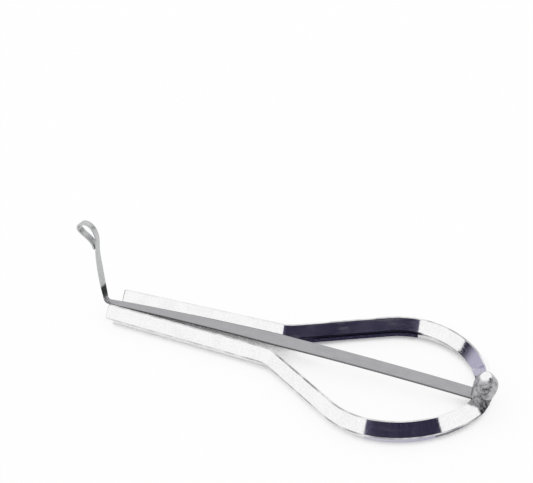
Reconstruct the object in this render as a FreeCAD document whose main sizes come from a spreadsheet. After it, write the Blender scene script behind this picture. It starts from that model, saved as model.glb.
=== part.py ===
"""Jaw harp: a bent steel frame with a spring-steel reed staked in its head.

X runs from the arms' cut ends (at -frame_length) to the crown (at 0), Y runs across the arms and Z points up.
The origin is on the frame's flat underside, in the middle of the crown. Every piece is drawn about the bar's
mid-plane and then lifted by half of the bar's height, so that the underside lies at Z = 0.
"""
import FreeCAD, Part
import math
import os

import Sketcher
from FreeCAD import Vector

# Each row: name, value in millimetres or degrees, meaning.
SIZES = (
    ("frame_length", 86.35, "arms' ends to the crown's centreline"),
    ("frame_width", 37.2, "frame over the outer edges where the bow is widest"),
    ("arm_length", 41.8, "arms' ends to the corner of the neck"),
    ("tip_spread", 3.2, "axis to an arm's centreline at its end"),
    ("neck_spread", 4.35, "axis to the centreline at the corner of the neck"),
    ("neck_radius", 6.7, "bend of the centreline at the neck"),
    ("bow_depth", 18.45, "crown's centreline to the widest place"),
    ("shoulder_radius", 15.3, "bend of the centreline past the flank"),
    ("side_radius", 19.9, "bend of the centreline from the shoulder to the crown"),
    ("crown_radius", 5.0, "bend of the centreline where the two sides meet"),
    ("bar_width", 4.0, "bar across its side edges"),
    ("bar_height", 5.0, "bar across its upper and lower edges"),
    ("edge_flat", 0.5, "width of the flat along each blunted edge"),
    ("head_radius", 2.75, "peened ball over the reed"),
    ("head_rise", 2.4, "ball's centre above the bar's mid-plane"),
    ("head_setback", 0.1, "ball's centre from the crown's centreline, towards the arms"),
    ("reed_thickness", 0.45, "spring strip"),
    ("neck_clearance", 0.55, "reed's side to an arm's inner edge, at the corner of the neck"),
    ("tip_clearance", 0.25, "reed's side to an arm's inner edge, at the arms' ends"),
    ("reed_root_width", 3.15, "reed where it leaves the head"),
    ("reed_root_level", 0.55, "reed's top above the bar's mid-plane, at the head"),
    ("reed_tip_level", 0.75, "reed's top above the bar's mid-plane, at the arms' ends"),
    ("reed_arch", 1.1, "rise of the reed's middle over the line of its ends"),
    ("tail_reach", 1.2, "reed's tail past the crown's centreline"),
    ("tail_lip", 0.25, "level stretch of the tail outside of the slot"),
    ("stake_clearance", 0.02, "slot of the head around the tail"),
    ("hinge_gap", 0.05, "slit at each place where the reed bends"),
    ("root_hinge", 17.3, "crown's centreline to the bending place nearest to the head"),
    ("tip_hinge", 11.3, "arms' ends to the bending place nearest to the trigger"),
    ("tip_overhang", 3.2, "arms' ends to the middle of the trigger's stem"),
    ("trigger_bend", 0.6, "inner radius where the reed turns up"),
    ("trigger_base_width", 1.4, "strip at the turn"),
    ("trigger_broad_width", 2.0, "strip at the broadest place of the stem"),
    ("trigger_broad_height", 7.0, "reed's top to the broadest place of the stem"),
    ("throat_height", 14.05, "reed's top to the throat of the eye"),
    ("eye_width", 1.2, "strip in the eye"),
    ("eye_length", 5.6, "eye's point to the middle of its round end"),
    ("eye_radius", 1.9, "outside of the eye's round end"),
    ("eye_lean", 22.0, "eye's lean away from the arms, in degrees"),
)


class Size:
    """A size that knows its value and the sheet expression that gives it."""

    def __init__(self, value, text):
        self.value = value
        self.text = text

    def joined(self, other, symbol, value):
        """The result of an operation with another size or with a plain count."""
        other_text = other.text if isinstance(other, Size) else repr(other)
        return Size(value, f"({self.text} {symbol} {other_text})")

    def __add__(self, other):
        return self.joined(other, "+", self.value + plain(other))

    def __sub__(self, other):
        return self.joined(other, "-", self.value - plain(other))

    def __mul__(self, other):
        return self.joined(other, "*", self.value * plain(other))

    def __truediv__(self, other):
        return self.joined(other, "/", self.value / plain(other))

    def __neg__(self):
        return self * -1


def plain(amount):
    """The number behind a size or a plain count."""
    return amount.value if isinstance(amount, Size) else amount


def sine(angle):
    """Sine of an angle in degrees."""
    return Size(math.sin(math.radians(angle.value)), f"sin({angle.text} * 1 deg)")


def cosine(angle):
    """Cosine of an angle in degrees."""
    return Size(math.cos(math.radians(angle.value)), f"cos({angle.text} * 1 deg)")


doc = FreeCAD.newDocument("JawHarp")
sheet = doc.addObject("Spreadsheet::Sheet", "Sizes")
for row, (alias, value, meaning) in enumerate(SIZES, start=1):
    sheet.set(f"A{row}", meaning)
    sheet.set(f"B{row}", str(value))
    sheet.setAlias(f"B{row}", alias)
doc.recompute()


def size(alias):
    """One size of the sheet."""
    return Size(float(sheet.get(alias)), f"Sizes.{alias}")


ZERO = Size(0.0, "0")
QUARTER_TURN = 90.0
half_bar_width = size("bar_width") / 2
half_bar_height = size("bar_height") / 2
bow_spread = size("frame_width") / 2 - half_bar_width
reed_thickness = size("reed_thickness")
half_gap = size("hinge_gap") / 2

# Distances along the reed, from the crown towards the arms.
head_face = half_bar_width + size("tail_lip")
root_hinge = size("root_hinge")
neck = size("frame_length") - size("arm_length")
tip_hinge = size("frame_length") - size("tip_hinge")
arms_end = size("frame_length")
trigger_centre = arms_end + size("tip_overhang")
trigger_turn = trigger_centre - reed_thickness / 2 - size("trigger_bend")


def new_body(label):
    """An empty piece that stands with the bar's underside at Z = 0."""
    body = doc.addObject("PartDesign::Body", label)
    body.Label = label
    body.setExpression("Placement.Base.z", half_bar_height.text)
    return body


def origin_plane(body, role):
    """One of the body's own three planes."""
    return next(item for item in body.Origin.OriginFeatures if item.Role == role)


def new_sketch(body, name, role, offset=ZERO):
    """A sketch parallel to a plane of its own body, moved along the plane's normal."""
    sketch = body.newObject("Sketcher::SketchObject", name)
    sketch.AttachmentSupport = [(origin_plane(body, role), "")]
    sketch.MapMode = "FlatFace"
    sketch.setExpression("AttachmentOffset.Base.z", offset.text)
    return sketch


def bind(sketch, kind, *where_and_size):
    """Adds one dimension to a sketch and ties it to the sheet."""
    *where, amount = where_and_size
    index = sketch.addConstraint(Sketcher.Constraint(kind, *where, amount.value))
    sketch.setExpression(f"Constraints[{index}]", amount.text)


def tie(sketch, kind, *where):
    """Adds one constraint that has no size."""
    sketch.addConstraint(Sketcher.Constraint(kind, *where))


def place_point(sketch, edge, end, across, up):
    """Holds one point of a sketch at its two distances from the sketch's origin."""
    bind(sketch, "DistanceX", -1, 1, edge, end, across)
    bind(sketch, "DistanceY", -1, 1, edge, end, up)


def add_polygon(sketch, corners):
    """A closed outline of straight edges through placed corners."""
    for start, end in zip(corners, corners[1:] + corners[:1]):
        points = [Vector(across.value, up.value) for across, up in (start, end)]
        sketch.addGeometry(Part.LineSegment(*points))
    for edge, (across, up) in enumerate(corners):
        tie(sketch, "Coincident", edge, 2, (edge + 1) % len(corners), 1)
        place_point(sketch, edge, 1, across, up)


def add_rectangle(sketch, left, right, bottom, top):
    """A closed rectangle between four sides."""
    add_polygon(sketch, [(left, bottom), (right, bottom), (right, top), (left, top)])


# --- Frame -------------------------------------------------------------------------------------------------------


def turned(centre, radius, angle):
    """The point of a circle in one direction."""
    return centre + Vector(math.cos(angle), math.sin(angle)) * radius


def direction(start, end):
    """The angle of the line from one point to another."""
    return math.atan2(end.y - start.y, end.x - start.x)


def common_point(first, first_reach, second, second_reach):
    """The point that lies at two given distances from two points, on the right of the line between them."""
    apart = (second - first).Length
    along = (first_reach**2 - second_reach**2 + apart**2) / (2 * apart)
    aside = math.sqrt(first_reach**2 - along**2)
    heading = direction(first, second)
    return turned(turned(first, along, heading), aside, heading - math.pi / 2)


def draw_half_path(sketch):
    """Centreline of one side: crown arc, side arc, shoulder arc, flank, neck arc and arm, each tangent to the next."""
    crown_radius, side_radius = size("crown_radius"), size("side_radius")
    shoulder_radius, neck_radius = size("shoulder_radius"), size("neck_radius")
    crown_centre = Vector(-crown_radius.value, 0)
    shoulder_centre = Vector(-size("bow_depth").value, (bow_spread - shoulder_radius).value)
    side_centre = common_point(
        shoulder_centre,
        (side_radius - shoulder_radius).value,
        crown_centre,
        (side_radius - crown_radius).value,
    )
    corner = Vector(-neck.value, size("neck_spread").value)
    arm_end = Vector(-arms_end.value, size("tip_spread").value)

    reach = (shoulder_centre - corner).Length
    flank = direction(corner, shoulder_centre) + math.asin(shoulder_radius.value / reach)
    arm = direction(arm_end, corner)
    cut_back = neck_radius.value * math.tan((flank - arm) / 2)
    flank_start = turned(corner, cut_back, flank)
    arm_start = turned(corner, -cut_back, arm)
    neck_centre = turned(arm_start, neck_radius.value, arm + math.pi / 2)
    crown_turn = direction(side_centre, crown_centre)
    side_turn = direction(side_centre, shoulder_centre)
    shoulder_end = turned(shoulder_centre, shoulder_radius.value, flank + math.pi / 2)

    crown_arc, side_arc, shoulder_arc, flank_line, neck_arc, arm_line, corner_mark = range(7)
    up = Vector(0, 0, 1)
    sketch.addGeometry(Part.ArcOfCircle(Part.Circle(crown_centre, up, crown_radius.value), 0, crown_turn))
    sketch.addGeometry(Part.ArcOfCircle(Part.Circle(side_centre, up, side_radius.value), crown_turn, side_turn))
    sketch.addGeometry(
        Part.ArcOfCircle(Part.Circle(shoulder_centre, up, shoulder_radius.value), side_turn, flank + math.pi / 2)
    )
    sketch.addGeometry(Part.LineSegment(shoulder_end, flank_start))
    sketch.addGeometry(
        Part.ArcOfCircle(Part.Circle(neck_centre, up, neck_radius.value), arm - math.pi / 2, flank - math.pi / 2)
    )
    sketch.addGeometry(Part.LineSegment(arm_start, arm_end))
    sketch.addGeometry(Part.Point(corner), True)

    tie(sketch, "Coincident", crown_arc, 1, -1, 1)
    tie(sketch, "PointOnObject", crown_arc, 3, -1)
    tie(sketch, "Tangent", crown_arc, 2, side_arc, 1)
    tie(sketch, "Tangent", side_arc, 2, shoulder_arc, 1)
    tie(sketch, "Tangent", shoulder_arc, 2, flank_line, 1)
    tie(sketch, "Tangent", flank_line, 2, neck_arc, 2)
    tie(sketch, "Tangent", neck_arc, 1, arm_line, 1)
    tie(sketch, "PointOnObject", corner_mark, 1, flank_line)
    tie(sketch, "PointOnObject", corner_mark, 1, arm_line)
    bind(sketch, "Radius", crown_arc, crown_radius)
    bind(sketch, "Radius", side_arc, side_radius)
    bind(sketch, "Radius", shoulder_arc, shoulder_radius)
    bind(sketch, "Radius", neck_arc, neck_radius)
    place_point(sketch, shoulder_arc, 3, -size("bow_depth"), bow_spread - shoulder_radius)
    place_point(sketch, corner_mark, 1, -neck, size("neck_spread"))
    place_point(sketch, arm_line, 2, -arms_end, size("tip_spread"))


def draw_bar_section(sketch):
    """Diamond section of the bar, each of its four edges blunted to a narrow flat."""
    half_flat = size("edge_flat") / 2
    right, upper = half_bar_width, half_bar_height
    add_polygon(
        sketch,
        [
            (right, -half_flat),
            (right, half_flat),
            (half_flat, upper),
            (-half_flat, upper),
            (-right, half_flat),
            (-right, -half_flat),
            (-half_flat, -upper),
            (half_flat, -upper),
        ],
    )


def make_frame():
    """The bent bar, its head peened to a ball, with the slot that holds the reed's tail."""
    body = new_body("frame")
    section = new_sketch(body, "BarSection", "XZ_Plane")
    draw_bar_section(section)
    path = new_sketch(body, "HalfPath", "XY_Plane")
    draw_half_path(path)
    doc.recompute()
    side = body.newObject("PartDesign::AdditivePipe", "FarSide")
    side.Profile = section
    side.Spine = path
    doc.recompute()
    both = body.newObject("PartDesign::Mirrored", "BothSides")
    both.Originals = [side]
    both.MirrorPlane = (origin_plane(body, "XZ_Plane"), [""])
    body.Tip = both
    doc.recompute()

    ball = body.newObject("PartDesign::AdditiveSphere", "HeadBall")
    ball.AttachmentSupport = [(origin_plane(body, "XY_Plane"), "")]
    ball.MapMode = "FlatFace"
    ball.setExpression("AttachmentOffset.Base.x", (-size("head_setback")).text)
    ball.setExpression("AttachmentOffset.Base.z", size("head_rise").text)
    ball.setExpression("Radius", size("head_radius").text)
    doc.recompute()

    play = size("stake_clearance")
    slot_side = new_sketch(body, "SlotSide", "XZ_Plane")
    add_rectangle(
        slot_side,
        -head_face,
        size("tail_reach") + play,
        size("reed_root_level") - reed_thickness - play,
        size("reed_root_level") + play,
    )
    doc.recompute()
    slot = body.newObject("PartDesign::Pocket", "ReedSlot")
    slot.Profile = slot_side
    slot.Midplane = True
    slot.setExpression("Length", (size("reed_root_width") + play * 2).text)
    return body


# --- Reed --------------------------------------------------------------------------------------------------------


def reed_level(distance):
    """Height of the reed's top over the bar's mid-plane: a flat arch between the head and the arms' ends."""
    share = (distance - half_bar_width) / (arms_end - half_bar_width)
    drop = size("reed_tip_level") - size("reed_root_level")
    rest = Size(1.0 - share.value, f"(1 - {share.text})")
    return size("reed_root_level") + drop * share + size("reed_arch") * 4 * share * rest


def arm_gap_width(distance):
    """Width of the reed between the arms, which it clears on both sides."""
    share = (arms_end - distance) / size("arm_length")
    at_neck = size("neck_spread") - half_bar_width - size("neck_clearance")
    at_tip = size("tip_spread") - half_bar_width - size("tip_clearance")
    return (at_tip + (at_neck - at_tip) * share) * 2


def bow_width(distance):
    """Width of the reed between the neck and the head, where it tapers evenly."""
    share = (distance - head_face) / (neck - head_face)
    return size("reed_root_width") + (arm_gap_width(neck) - size("reed_root_width")) * share


def strip_section(body, name, distance, width, level):
    """Upright rectangle across the reed at a distance from the crown."""
    sketch = new_sketch(body, name, "YZ_Plane", -distance)
    add_rectangle(sketch, -width / 2, width / 2, level - reed_thickness, level)
    return sketch


def stem_section(body, name, height, width):
    """Level rectangle across the trigger's stem at a height over the bar's mid-plane."""
    sketch = new_sketch(body, name, "XY_Plane", height)
    half = reed_thickness / 2
    add_rectangle(sketch, -trigger_centre - half, -trigger_centre + half, -width / 2, width / 2)
    return sketch


def join_sections(body, name, sections):
    """Straight-sided strip through two or more sections."""
    doc.recompute()
    strip = body.newObject("PartDesign::AdditiveLoft", name)
    strip.Profile = sections[0]
    strip.Sections = sections[1:]
    strip.Ruled = True
    doc.recompute()
    return strip


def make_reed_root():
    """The staked tail and the first stretch of the reed, which stay with the frame."""
    body = new_body("reed_root")
    root_width, root_level = size("reed_root_width"), size("reed_root_level")
    end = root_hinge - half_gap
    join_sections(
        body,
        "Strip",
        [
            strip_section(body, "TailEnd", -size("tail_reach"), root_width, root_level),
            strip_section(body, "HeadFace", head_face, root_width, root_level),
            strip_section(body, "RootHinge", end, bow_width(end), reed_level(end)),
        ],
    )
    return body


def make_reed_blade():
    """The stretch of the reed inside of the bow."""
    body = new_body("reed_blade")
    start, end = root_hinge + half_gap, neck - half_gap
    join_sections(
        body,
        "Strip",
        [
            strip_section(body, "RootHinge", start, bow_width(start), reed_level(start)),
            strip_section(body, "Neck", end, bow_width(end), reed_level(end)),
        ],
    )
    return body


def make_reed_shank():
    """The stretch of the reed between the arms."""
    body = new_body("reed_shank")
    start, end = neck + half_gap, tip_hinge - half_gap
    join_sections(
        body,
        "Strip",
        [
            strip_section(body, "Neck", start, arm_gap_width(start), reed_level(start)),
            strip_section(body, "TipHinge", end, arm_gap_width(end), reed_level(end)),
        ],
    )
    return body


def draw_eye(sketch):
    """Side view of the eye: a drop-shaped ring of even thickness, its point in the stem."""
    radius, length, lean = size("eye_radius"), size("eye_length"), size("eye_lean")
    point_height = size("reed_tip_level") + size("throat_height") - reed_thickness
    point = Vector(-trigger_centre.value, point_height.value)
    axis = math.pi / 2 + math.radians(lean.value)
    centre = turned(point, length.value, axis)
    half_angle = math.asin(radius.value / length.value)
    for ring_radius in (radius, radius - reed_thickness):
        tip = turned(centre, -ring_radius.value / math.sin(half_angle), axis)
        right, left = axis - math.pi / 2 - half_angle, axis + math.pi / 2 + half_angle
        circle = Part.Circle(centre, Vector(0, 0, 1), ring_radius.value)
        sketch.addGeometry(Part.LineSegment(tip, turned(centre, ring_radius.value, right)))
        sketch.addGeometry(Part.ArcOfCircle(circle, right, left))
        sketch.addGeometry(Part.LineSegment(turned(centre, ring_radius.value, left), tip))
        first = sketch.GeometryCount - 3
        tie(sketch, "Tangent", first, 2, first + 1, 1)
        tie(sketch, "Tangent", first + 1, 2, first + 2, 1)
        tie(sketch, "Coincident", first + 2, 2, first, 1)
        bind(sketch, "Radius", first + 1, ring_radius)
    place_point(sketch, 0, 1, -trigger_centre, point_height)
    place_point(sketch, 1, 3, -trigger_centre - length * sine(lean), point_height + length * cosine(lean))
    tie(sketch, "Coincident", 4, 3, 1, 3)
    tie(sketch, "Parallel", 0, 3)
    tie(sketch, "Parallel", 2, 5)


def make_reed_tip():
    """The free end of the reed with the trigger: the strip turns up, broadens and ends in an eye."""
    body = new_body("reed_tip")
    level = size("reed_tip_level")
    start = tip_hinge + half_gap
    base_width = size("trigger_base_width")
    join_sections(
        body,
        "Strip",
        [
            strip_section(body, "TipHinge", start, arm_gap_width(start), reed_level(start)),
            strip_section(body, "ArmsEnd", arms_end, arm_gap_width(arms_end), level),
            strip_section(body, "TurnStart", trigger_turn, base_width, level),
        ],
    )

    turn_section = new_sketch(body, "TurnSection", "YZ_Plane", -trigger_turn)
    add_rectangle(turn_section, -base_width / 2, base_width / 2, level - reed_thickness, level)
    axis_height = (level + size("trigger_bend")).value
    axis_line = turn_section.addGeometry(
        Part.LineSegment(Vector(-base_width.value, axis_height), Vector(base_width.value, axis_height)), True
    )
    place_point(turn_section, axis_line, 1, -base_width, level + size("trigger_bend"))
    place_point(turn_section, axis_line, 2, base_width, level + size("trigger_bend"))
    doc.recompute()
    turn = body.newObject("PartDesign::Revolution", "Turn")
    turn.Profile = turn_section
    turn.ReferenceAxis = (turn_section, ["Axis0"])
    turn.Angle = QUARTER_TURN
    doc.recompute()

    stem_base = level + size("trigger_bend")
    join_sections(
        body,
        "Stem",
        [
            stem_section(body, "StemBase", stem_base, base_width),
            stem_section(body, "StemBroad", level + size("trigger_broad_height"), size("trigger_broad_width")),
            stem_section(body, "StemTop", level + size("throat_height"), size("eye_width")),
        ],
    )
    eye_side = new_sketch(body, "EyeSide", "XZ_Plane")
    draw_eye(eye_side)
    doc.recompute()
    eye = body.newObject("PartDesign::Pad", "Eye")
    eye.Profile = eye_side
    eye.Midplane = True
    eye.setExpression("Length", size("eye_width").text)
    return body


# --- Assembly ----------------------------------------------------------------------------------------------------

pieces = [make_frame(), make_reed_root(), make_reed_blade(), make_reed_shank(), make_reed_tip()]
doc.recompute()

for item in doc.Objects:
    if "Invalid" in item.State or "Error" in item.State:
        raise RuntimeError(f"{item.Label} failed to build: {item.State}")
for piece in pieces:
    if piece.Shape.isNull() or not piece.Shape.isValid() or len(piece.Shape.Solids) != 1:
        raise RuntimeError(f"{piece.Label} is not one valid solid")

os.makedirs("parts", exist_ok=True)
for piece in pieces:
    piece.Shape.exportStep(f"parts/{piece.Label}.step")
    box = piece.Shape.BoundBox
    print(
        f"{piece.Label}: {piece.Shape.Volume:.2f} mm3, X {box.XMin:.2f} to {box.XMax:.2f},"
        f" Y {box.YMin:.2f} to {box.YMax:.2f}, Z {box.ZMin:.2f} to {box.ZMax:.2f}"
    )
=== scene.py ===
import logging
import math
from dataclasses import dataclass
from enum import Enum

import bmesh
import bpy
import numpy as np
from mathutils import Matrix, Vector


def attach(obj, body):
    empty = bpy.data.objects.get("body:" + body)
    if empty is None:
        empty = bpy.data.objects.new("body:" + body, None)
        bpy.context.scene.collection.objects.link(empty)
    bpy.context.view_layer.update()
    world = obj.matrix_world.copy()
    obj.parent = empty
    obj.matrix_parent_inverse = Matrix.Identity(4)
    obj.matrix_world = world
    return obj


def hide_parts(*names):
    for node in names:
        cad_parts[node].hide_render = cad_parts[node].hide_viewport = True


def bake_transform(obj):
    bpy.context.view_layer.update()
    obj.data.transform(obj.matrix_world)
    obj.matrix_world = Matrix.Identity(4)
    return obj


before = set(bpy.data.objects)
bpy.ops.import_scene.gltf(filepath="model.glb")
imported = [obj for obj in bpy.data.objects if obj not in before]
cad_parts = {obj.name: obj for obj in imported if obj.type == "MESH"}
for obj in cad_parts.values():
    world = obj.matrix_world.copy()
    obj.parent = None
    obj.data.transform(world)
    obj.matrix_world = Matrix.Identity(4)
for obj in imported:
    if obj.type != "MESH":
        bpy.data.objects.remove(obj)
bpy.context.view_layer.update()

MM = 0.001
"""One millimetre, the unit of every size below, in the scene's metres."""

Array = np.ndarray
Piece = bpy.types.Object
Finish = bpy.types.Material

LOG = logging.getLogger("jaw_harp")


class Body(Enum):
    """The moving bodies that a piece can ride on."""

    FRAME = "body"
    BLADE = "blade"
    SHANK = "shank"
    TIP = "tip"


class Slot(Enum):
    """The record's material slots."""

    PLATED = "plated_steel"
    SPRING = "spring_steel"


# --- Shaders ----------------------------------


class Value:
    """A shader socket that takes part in arithmetic."""

    def __init__(self, sheet: "NodeSheet", socket: bpy.types.NodeSocket) -> None:
        """Wraps one output socket."""
        self.sheet = sheet
        self.socket = socket

    def _math(self, operation: str, first: "Value | float", second: "Value | float") -> "Value":
        """Adds one Math node."""
        return self.sheet.node("ShaderNodeMath", {"operation": operation}, {0: first, 1: second})

    def __add__(self, other: "Value | float") -> "Value":
        """Sum."""
        return self._math("ADD", self, other)

    __radd__ = __add__

    def __sub__(self, other: "Value | float") -> "Value":
        """Difference."""
        return self._math("SUBTRACT", self, other)

    def __rsub__(self, other: float) -> "Value":
        """Difference from a number."""
        return self._math("SUBTRACT", other, self)

    def __mul__(self, other: "Value | float") -> "Value":
        """Product."""
        return self._math("MULTIPLY", self, other)

    __rmul__ = __mul__

    def ramp(self, low: float, high: float) -> "Value":
        """Zero up to the low value, one from the high value on, and smooth between them."""
        inputs = {"Value": self, "From Min": low, "From Max": high}
        return self.sheet.node("ShaderNodeMapRange", {"interpolation_type": "SMOOTHSTEP"}, inputs)


class NodeSheet:
    """A material's nodes, with one way of adding a node."""

    def __init__(self, name: str) -> None:
        """Makes an empty material.

        Args:
            name: the material's name.
        """
        self.material = bpy.data.materials.new(name)
        self.material.use_nodes = True
        self.tree = self.material.node_tree
        self.tree.nodes.clear()

    def node(self, kind: str, settings: dict, inputs: dict, output: int | str = 0) -> Value:
        """Adds a node.

        Args:
            kind: the node's type.
            settings: its settings, which are set first.
            inputs: values or links of its sockets, by name or number.
            output: the output that is wanted.

        Returns:
            That output.
        """
        node = self.tree.nodes.new(kind)
        for key, setting in settings.items():
            setattr(node, key, setting)
        for key, value in inputs.items():
            if isinstance(value, Value):
                self.tree.links.new(value.socket, node.inputs[key])
            else:
                node.inputs[key].default_value = value
        return Value(self, node.outputs[output]) if len(node.outputs) else Value(self, None)

    def place(self) -> Value:
        """Object coordinates, in metres."""
        return self.node("ShaderNodeTexCoord", {}, {}, "Object")

    def unrolled(self, name: str) -> Value:
        """Coordinates that are kept on the mesh, by their name."""
        return self.node("ShaderNodeUVMap", {"uv_map": name}, {})

    def stretched(self, source: Value, scale: tuple) -> Value:
        """Coordinates scaled along each axis."""
        return self.node("ShaderNodeMapping", {"vector_type": "POINT"}, {"Vector": source, "Scale": scale})

    def noise(self, source: Value, scale: float, detail: float = 3.0) -> Value:
        """Soft noise from about zero to one, by its ripples per unit of the coordinates and its octaves."""
        inputs = {"Vector": source, "Scale": scale, "Detail": detail, "Roughness": 0.55}
        return self.node("ShaderNodeTexNoise", {}, inputs)

    def share(self, name: str) -> Value:
        """A share that is kept on the piece's points."""
        return self.node("ShaderNodeAttribute", {"attribute_name": name}, {}, "Fac")

    def mix(self, low: "Value | tuple", high: "Value | tuple", share: Value) -> Value:
        """A colour between two colours, each a node's colour or linear red, green and blue.

        Args:
            low: colour where the share is zero.
            high: colour where the share is one.
            share: the share.

        Returns:
            The colour.
        """
        first, second = (end if isinstance(end, Value) else (*end, 1.0) for end in (low, high))
        inputs = {"Factor": share, 6: first, 7: second}
        return self.node("ShaderNodeMix", {"data_type": "RGBA"}, inputs, 2)

    def bump(self, height: Value, depth: float, strength: float, under: Value | None = None) -> Value:
        """A normal that follows a height.

        Args:
            height: the height, from zero to one.
            depth: metres that a height of one stands for.
            strength: share of the effect.
            under: the normal that it is laid over, or nothing.

        Returns:
            The normal.
        """
        inputs = {"Height": height, "Distance": depth, "Strength": strength}
        if under is not None:
            inputs["Normal"] = under
        return self.node("ShaderNodeBump", {}, inputs)

    def glow(self, colour: tuple) -> Value:
        """A surface that is one colour of itself, at a strength of one."""
        return self.node("ShaderNodeEmission", {}, {"Color": (*colour, 1.0), "Strength": 1.0})

    def cover(self, under: Value, over: Value, share: Value) -> Value:
        """A surface that goes over to another one where the share is one."""
        return self.node("ShaderNodeMixShader", {}, {0: share, 1: under, 2: over})

    def metal(self, colour: Value, roughness: Value, normal: Value) -> Finish:
        """Finishes the material as a metal with a colour, a roughness and a normal."""
        inputs = {"Base Color": colour, "Metallic": 1.0, "Roughness": roughness, "Normal": normal}
        return self.finish(self.node("ShaderNodeBsdfPrincipled", {}, inputs))

    def finish(self, shader: Value) -> Finish:
        """Sends a shader to the surface."""
        self.node("ShaderNodeOutputMaterial", {}, {"Surface": shader})
        return self.material


@dataclass(frozen=True)
class PlatedSteel:
    """Bright nickel plating over drawn steel bar, thin and grey where the head was hammered. Scales are
    ripples per metre, or per millimetre along and across the drawn bar, and depths are metres."""

    bright: tuple = (0.945, 0.943, 0.948)
    dull: tuple = (0.87, 0.868, 0.878)
    # rubbed edges: real wear, and a dark grey that is also painted shade drawing the edges as outlines
    rubbed_and_shaded: tuple = (0.27, 0.268, 0.285)
    # painted reflection: a lavender grey that stands in for a reflected grey surface
    reflected_lavender: tuple = (0.53, 0.51, 0.62)
    # painted reflection: a navy that stands in for a dark reflected surface
    reflected_navy: tuple = (0.038, 0.034, 0.062)
    bare: tuple = (0.45, 0.445, 0.46)
    pitted: tuple = (0.2, 0.198, 0.21)
    # painted shade and dark reflection: near black, laid over the crushed steel
    painted_dark: tuple = (0.022, 0.022, 0.026)
    smooth: float = 0.055
    worn: float = 0.15
    hammered: float = 0.46
    cloud_scale: float = 260.0
    grain_scale: float = 2600.0
    pit_scale: float = 1000.0
    streak_scale: tuple = (0.12, 2.6, 1.0)
    scuff_scale: tuple = (0.22, 0.05, 1.0)
    wave_scale: float = 90.0
    wave_depth: float = 0.00022
    mark_depth: float = 0.00001

    def material(self) -> Finish:
        """Builds the finish: the plating, rubbed at the edges and darkened there with painted shade, with a
        painted lavender reflection and a painted dark reflection where the bar is marked so, goes over to
        pitted bare steel with painted dark spots of shade and reflection where it was crushed, and the
        roughness with it.

        Returns:
            The material.
        """
        sheet = NodeSheet("plated_steel_finish")
        place, drawn = sheet.place(), sheet.unrolled("along")
        cloud = sheet.noise(place, self.cloud_scale)
        grain = sheet.noise(place, self.grain_scale, 2.0)
        pits = sheet.noise(place, self.pit_scale)
        streaks = sheet.noise(sheet.stretched(drawn, self.streak_scale), 1.0, 4.0)
        scuffs = sheet.noise(sheet.stretched(drawn, self.scuff_scale), 1.0, 2.0)
        crush, edge_wear_and_shade = sheet.share("crush"), sheet.share("edge_wear_and_shade")
        plated = sheet.mix(self.dull, self.bright, (cloud * 0.4 + grain * 0.6).ramp(0.36, 0.6))
        # edges rubbed by wear and darkened with painted shade into outlines
        plated = sheet.mix(plated, self.rubbed_and_shaded, edge_wear_and_shade * (0.3 + scuffs.ramp(0.38, 0.6) * 0.6))
        # painted lavender reflection where the bar is marked so
        plated = sheet.mix(plated, self.reflected_lavender, sheet.share("painted_reflection"))
        # painted dark reflection where the bar is marked so
        plated = sheet.mix(plated, self.reflected_navy, sheet.share("painted_dark_reflection"))
        bared = sheet.mix(self.pitted, self.bare, pits.ramp(0.34, 0.62))
        # painted dark spots of shade and reflection on the crushed steel
        bared = sheet.mix(bared, self.painted_dark, sheet.share("painted_dark_spots"))
        rough = self.smooth + (cloud * 0.5 + streaks * 0.5).ramp(0.4, 0.75) * (self.worn - self.smooth)
        rough = rough + crush * (self.hammered - self.worn) + edge_wear_and_shade * self.worn
        waves = sheet.bump(sheet.noise(place, self.wave_scale, 1.0), self.wave_depth, 0.22)
        marks = sheet.bump(streaks * 0.6 + grain * 0.4 + pits * crush * 9.0, self.mark_depth, 0.35, waves)
        return sheet.metal(sheet.mix(plated, bared, crush), rough, marks)


@dataclass(frozen=True)
class SpringSteel:
    """Dull rolled strip with fine scratches along it. Scales are as for the plating."""

    light: tuple = (0.47, 0.47, 0.485)
    dark: tuple = (0.37, 0.37, 0.385)
    # painted shade: a darker grey for the strip's sides
    painted_side_shade: tuple = (0.2, 0.2, 0.205)
    buffed: tuple = (0.62, 0.63, 0.62)
    # near black, for the trigger's foot and the inside of its eye
    darkened: tuple = (0.035, 0.043, 0.038)
    smooth: float = 0.34
    rough: float = 0.52
    scratch_scale: tuple = (0.22, 9.0, 1.0)
    patch_scale: float = 420.0
    grain_scale: float = 3000.0
    scratch_depth: float = 0.00002

    def material(self) -> Finish:
        """Builds the finish: mottled grey, darker on the strip's sides as painted shade, buffed on the
        trigger, and darker at its foot and inside its eye.

        Returns:
            The material.
        """
        sheet = NodeSheet("spring_steel_finish")
        place = sheet.place()
        scratches = sheet.noise(sheet.stretched(sheet.unrolled("along"), self.scratch_scale), 1.0, 5.0)
        patches = sheet.noise(place, self.patch_scale, 4.0)
        mottle = (scratches * 0.55 + patches * 0.45).ramp(0.36, 0.64)
        # painted shade on the strip's sides
        colour = sheet.mix(sheet.mix(self.dark, self.light, mottle), self.painted_side_shade, sheet.share("side"))
        colour = sheet.mix(colour, self.buffed, sheet.share("buff") * (0.55 + mottle * 0.45))
        # darker at the trigger's foot and inside its eye
        colour = sheet.mix(colour, self.darkened, sheet.share("darkening") * (0.8 + patches.ramp(0.3, 0.6) * 0.2))
        rough = self.smooth + patches.ramp(0.3, 0.7) * (self.rough - self.smooth)
        height = scratches * 0.7 + sheet.noise(place, self.grain_scale, 2.0) * 0.3
        return sheet.metal(colour, rough, sheet.bump(height, self.scratch_depth, 0.5))


# --- Surfaces ---------------------------------


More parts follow.
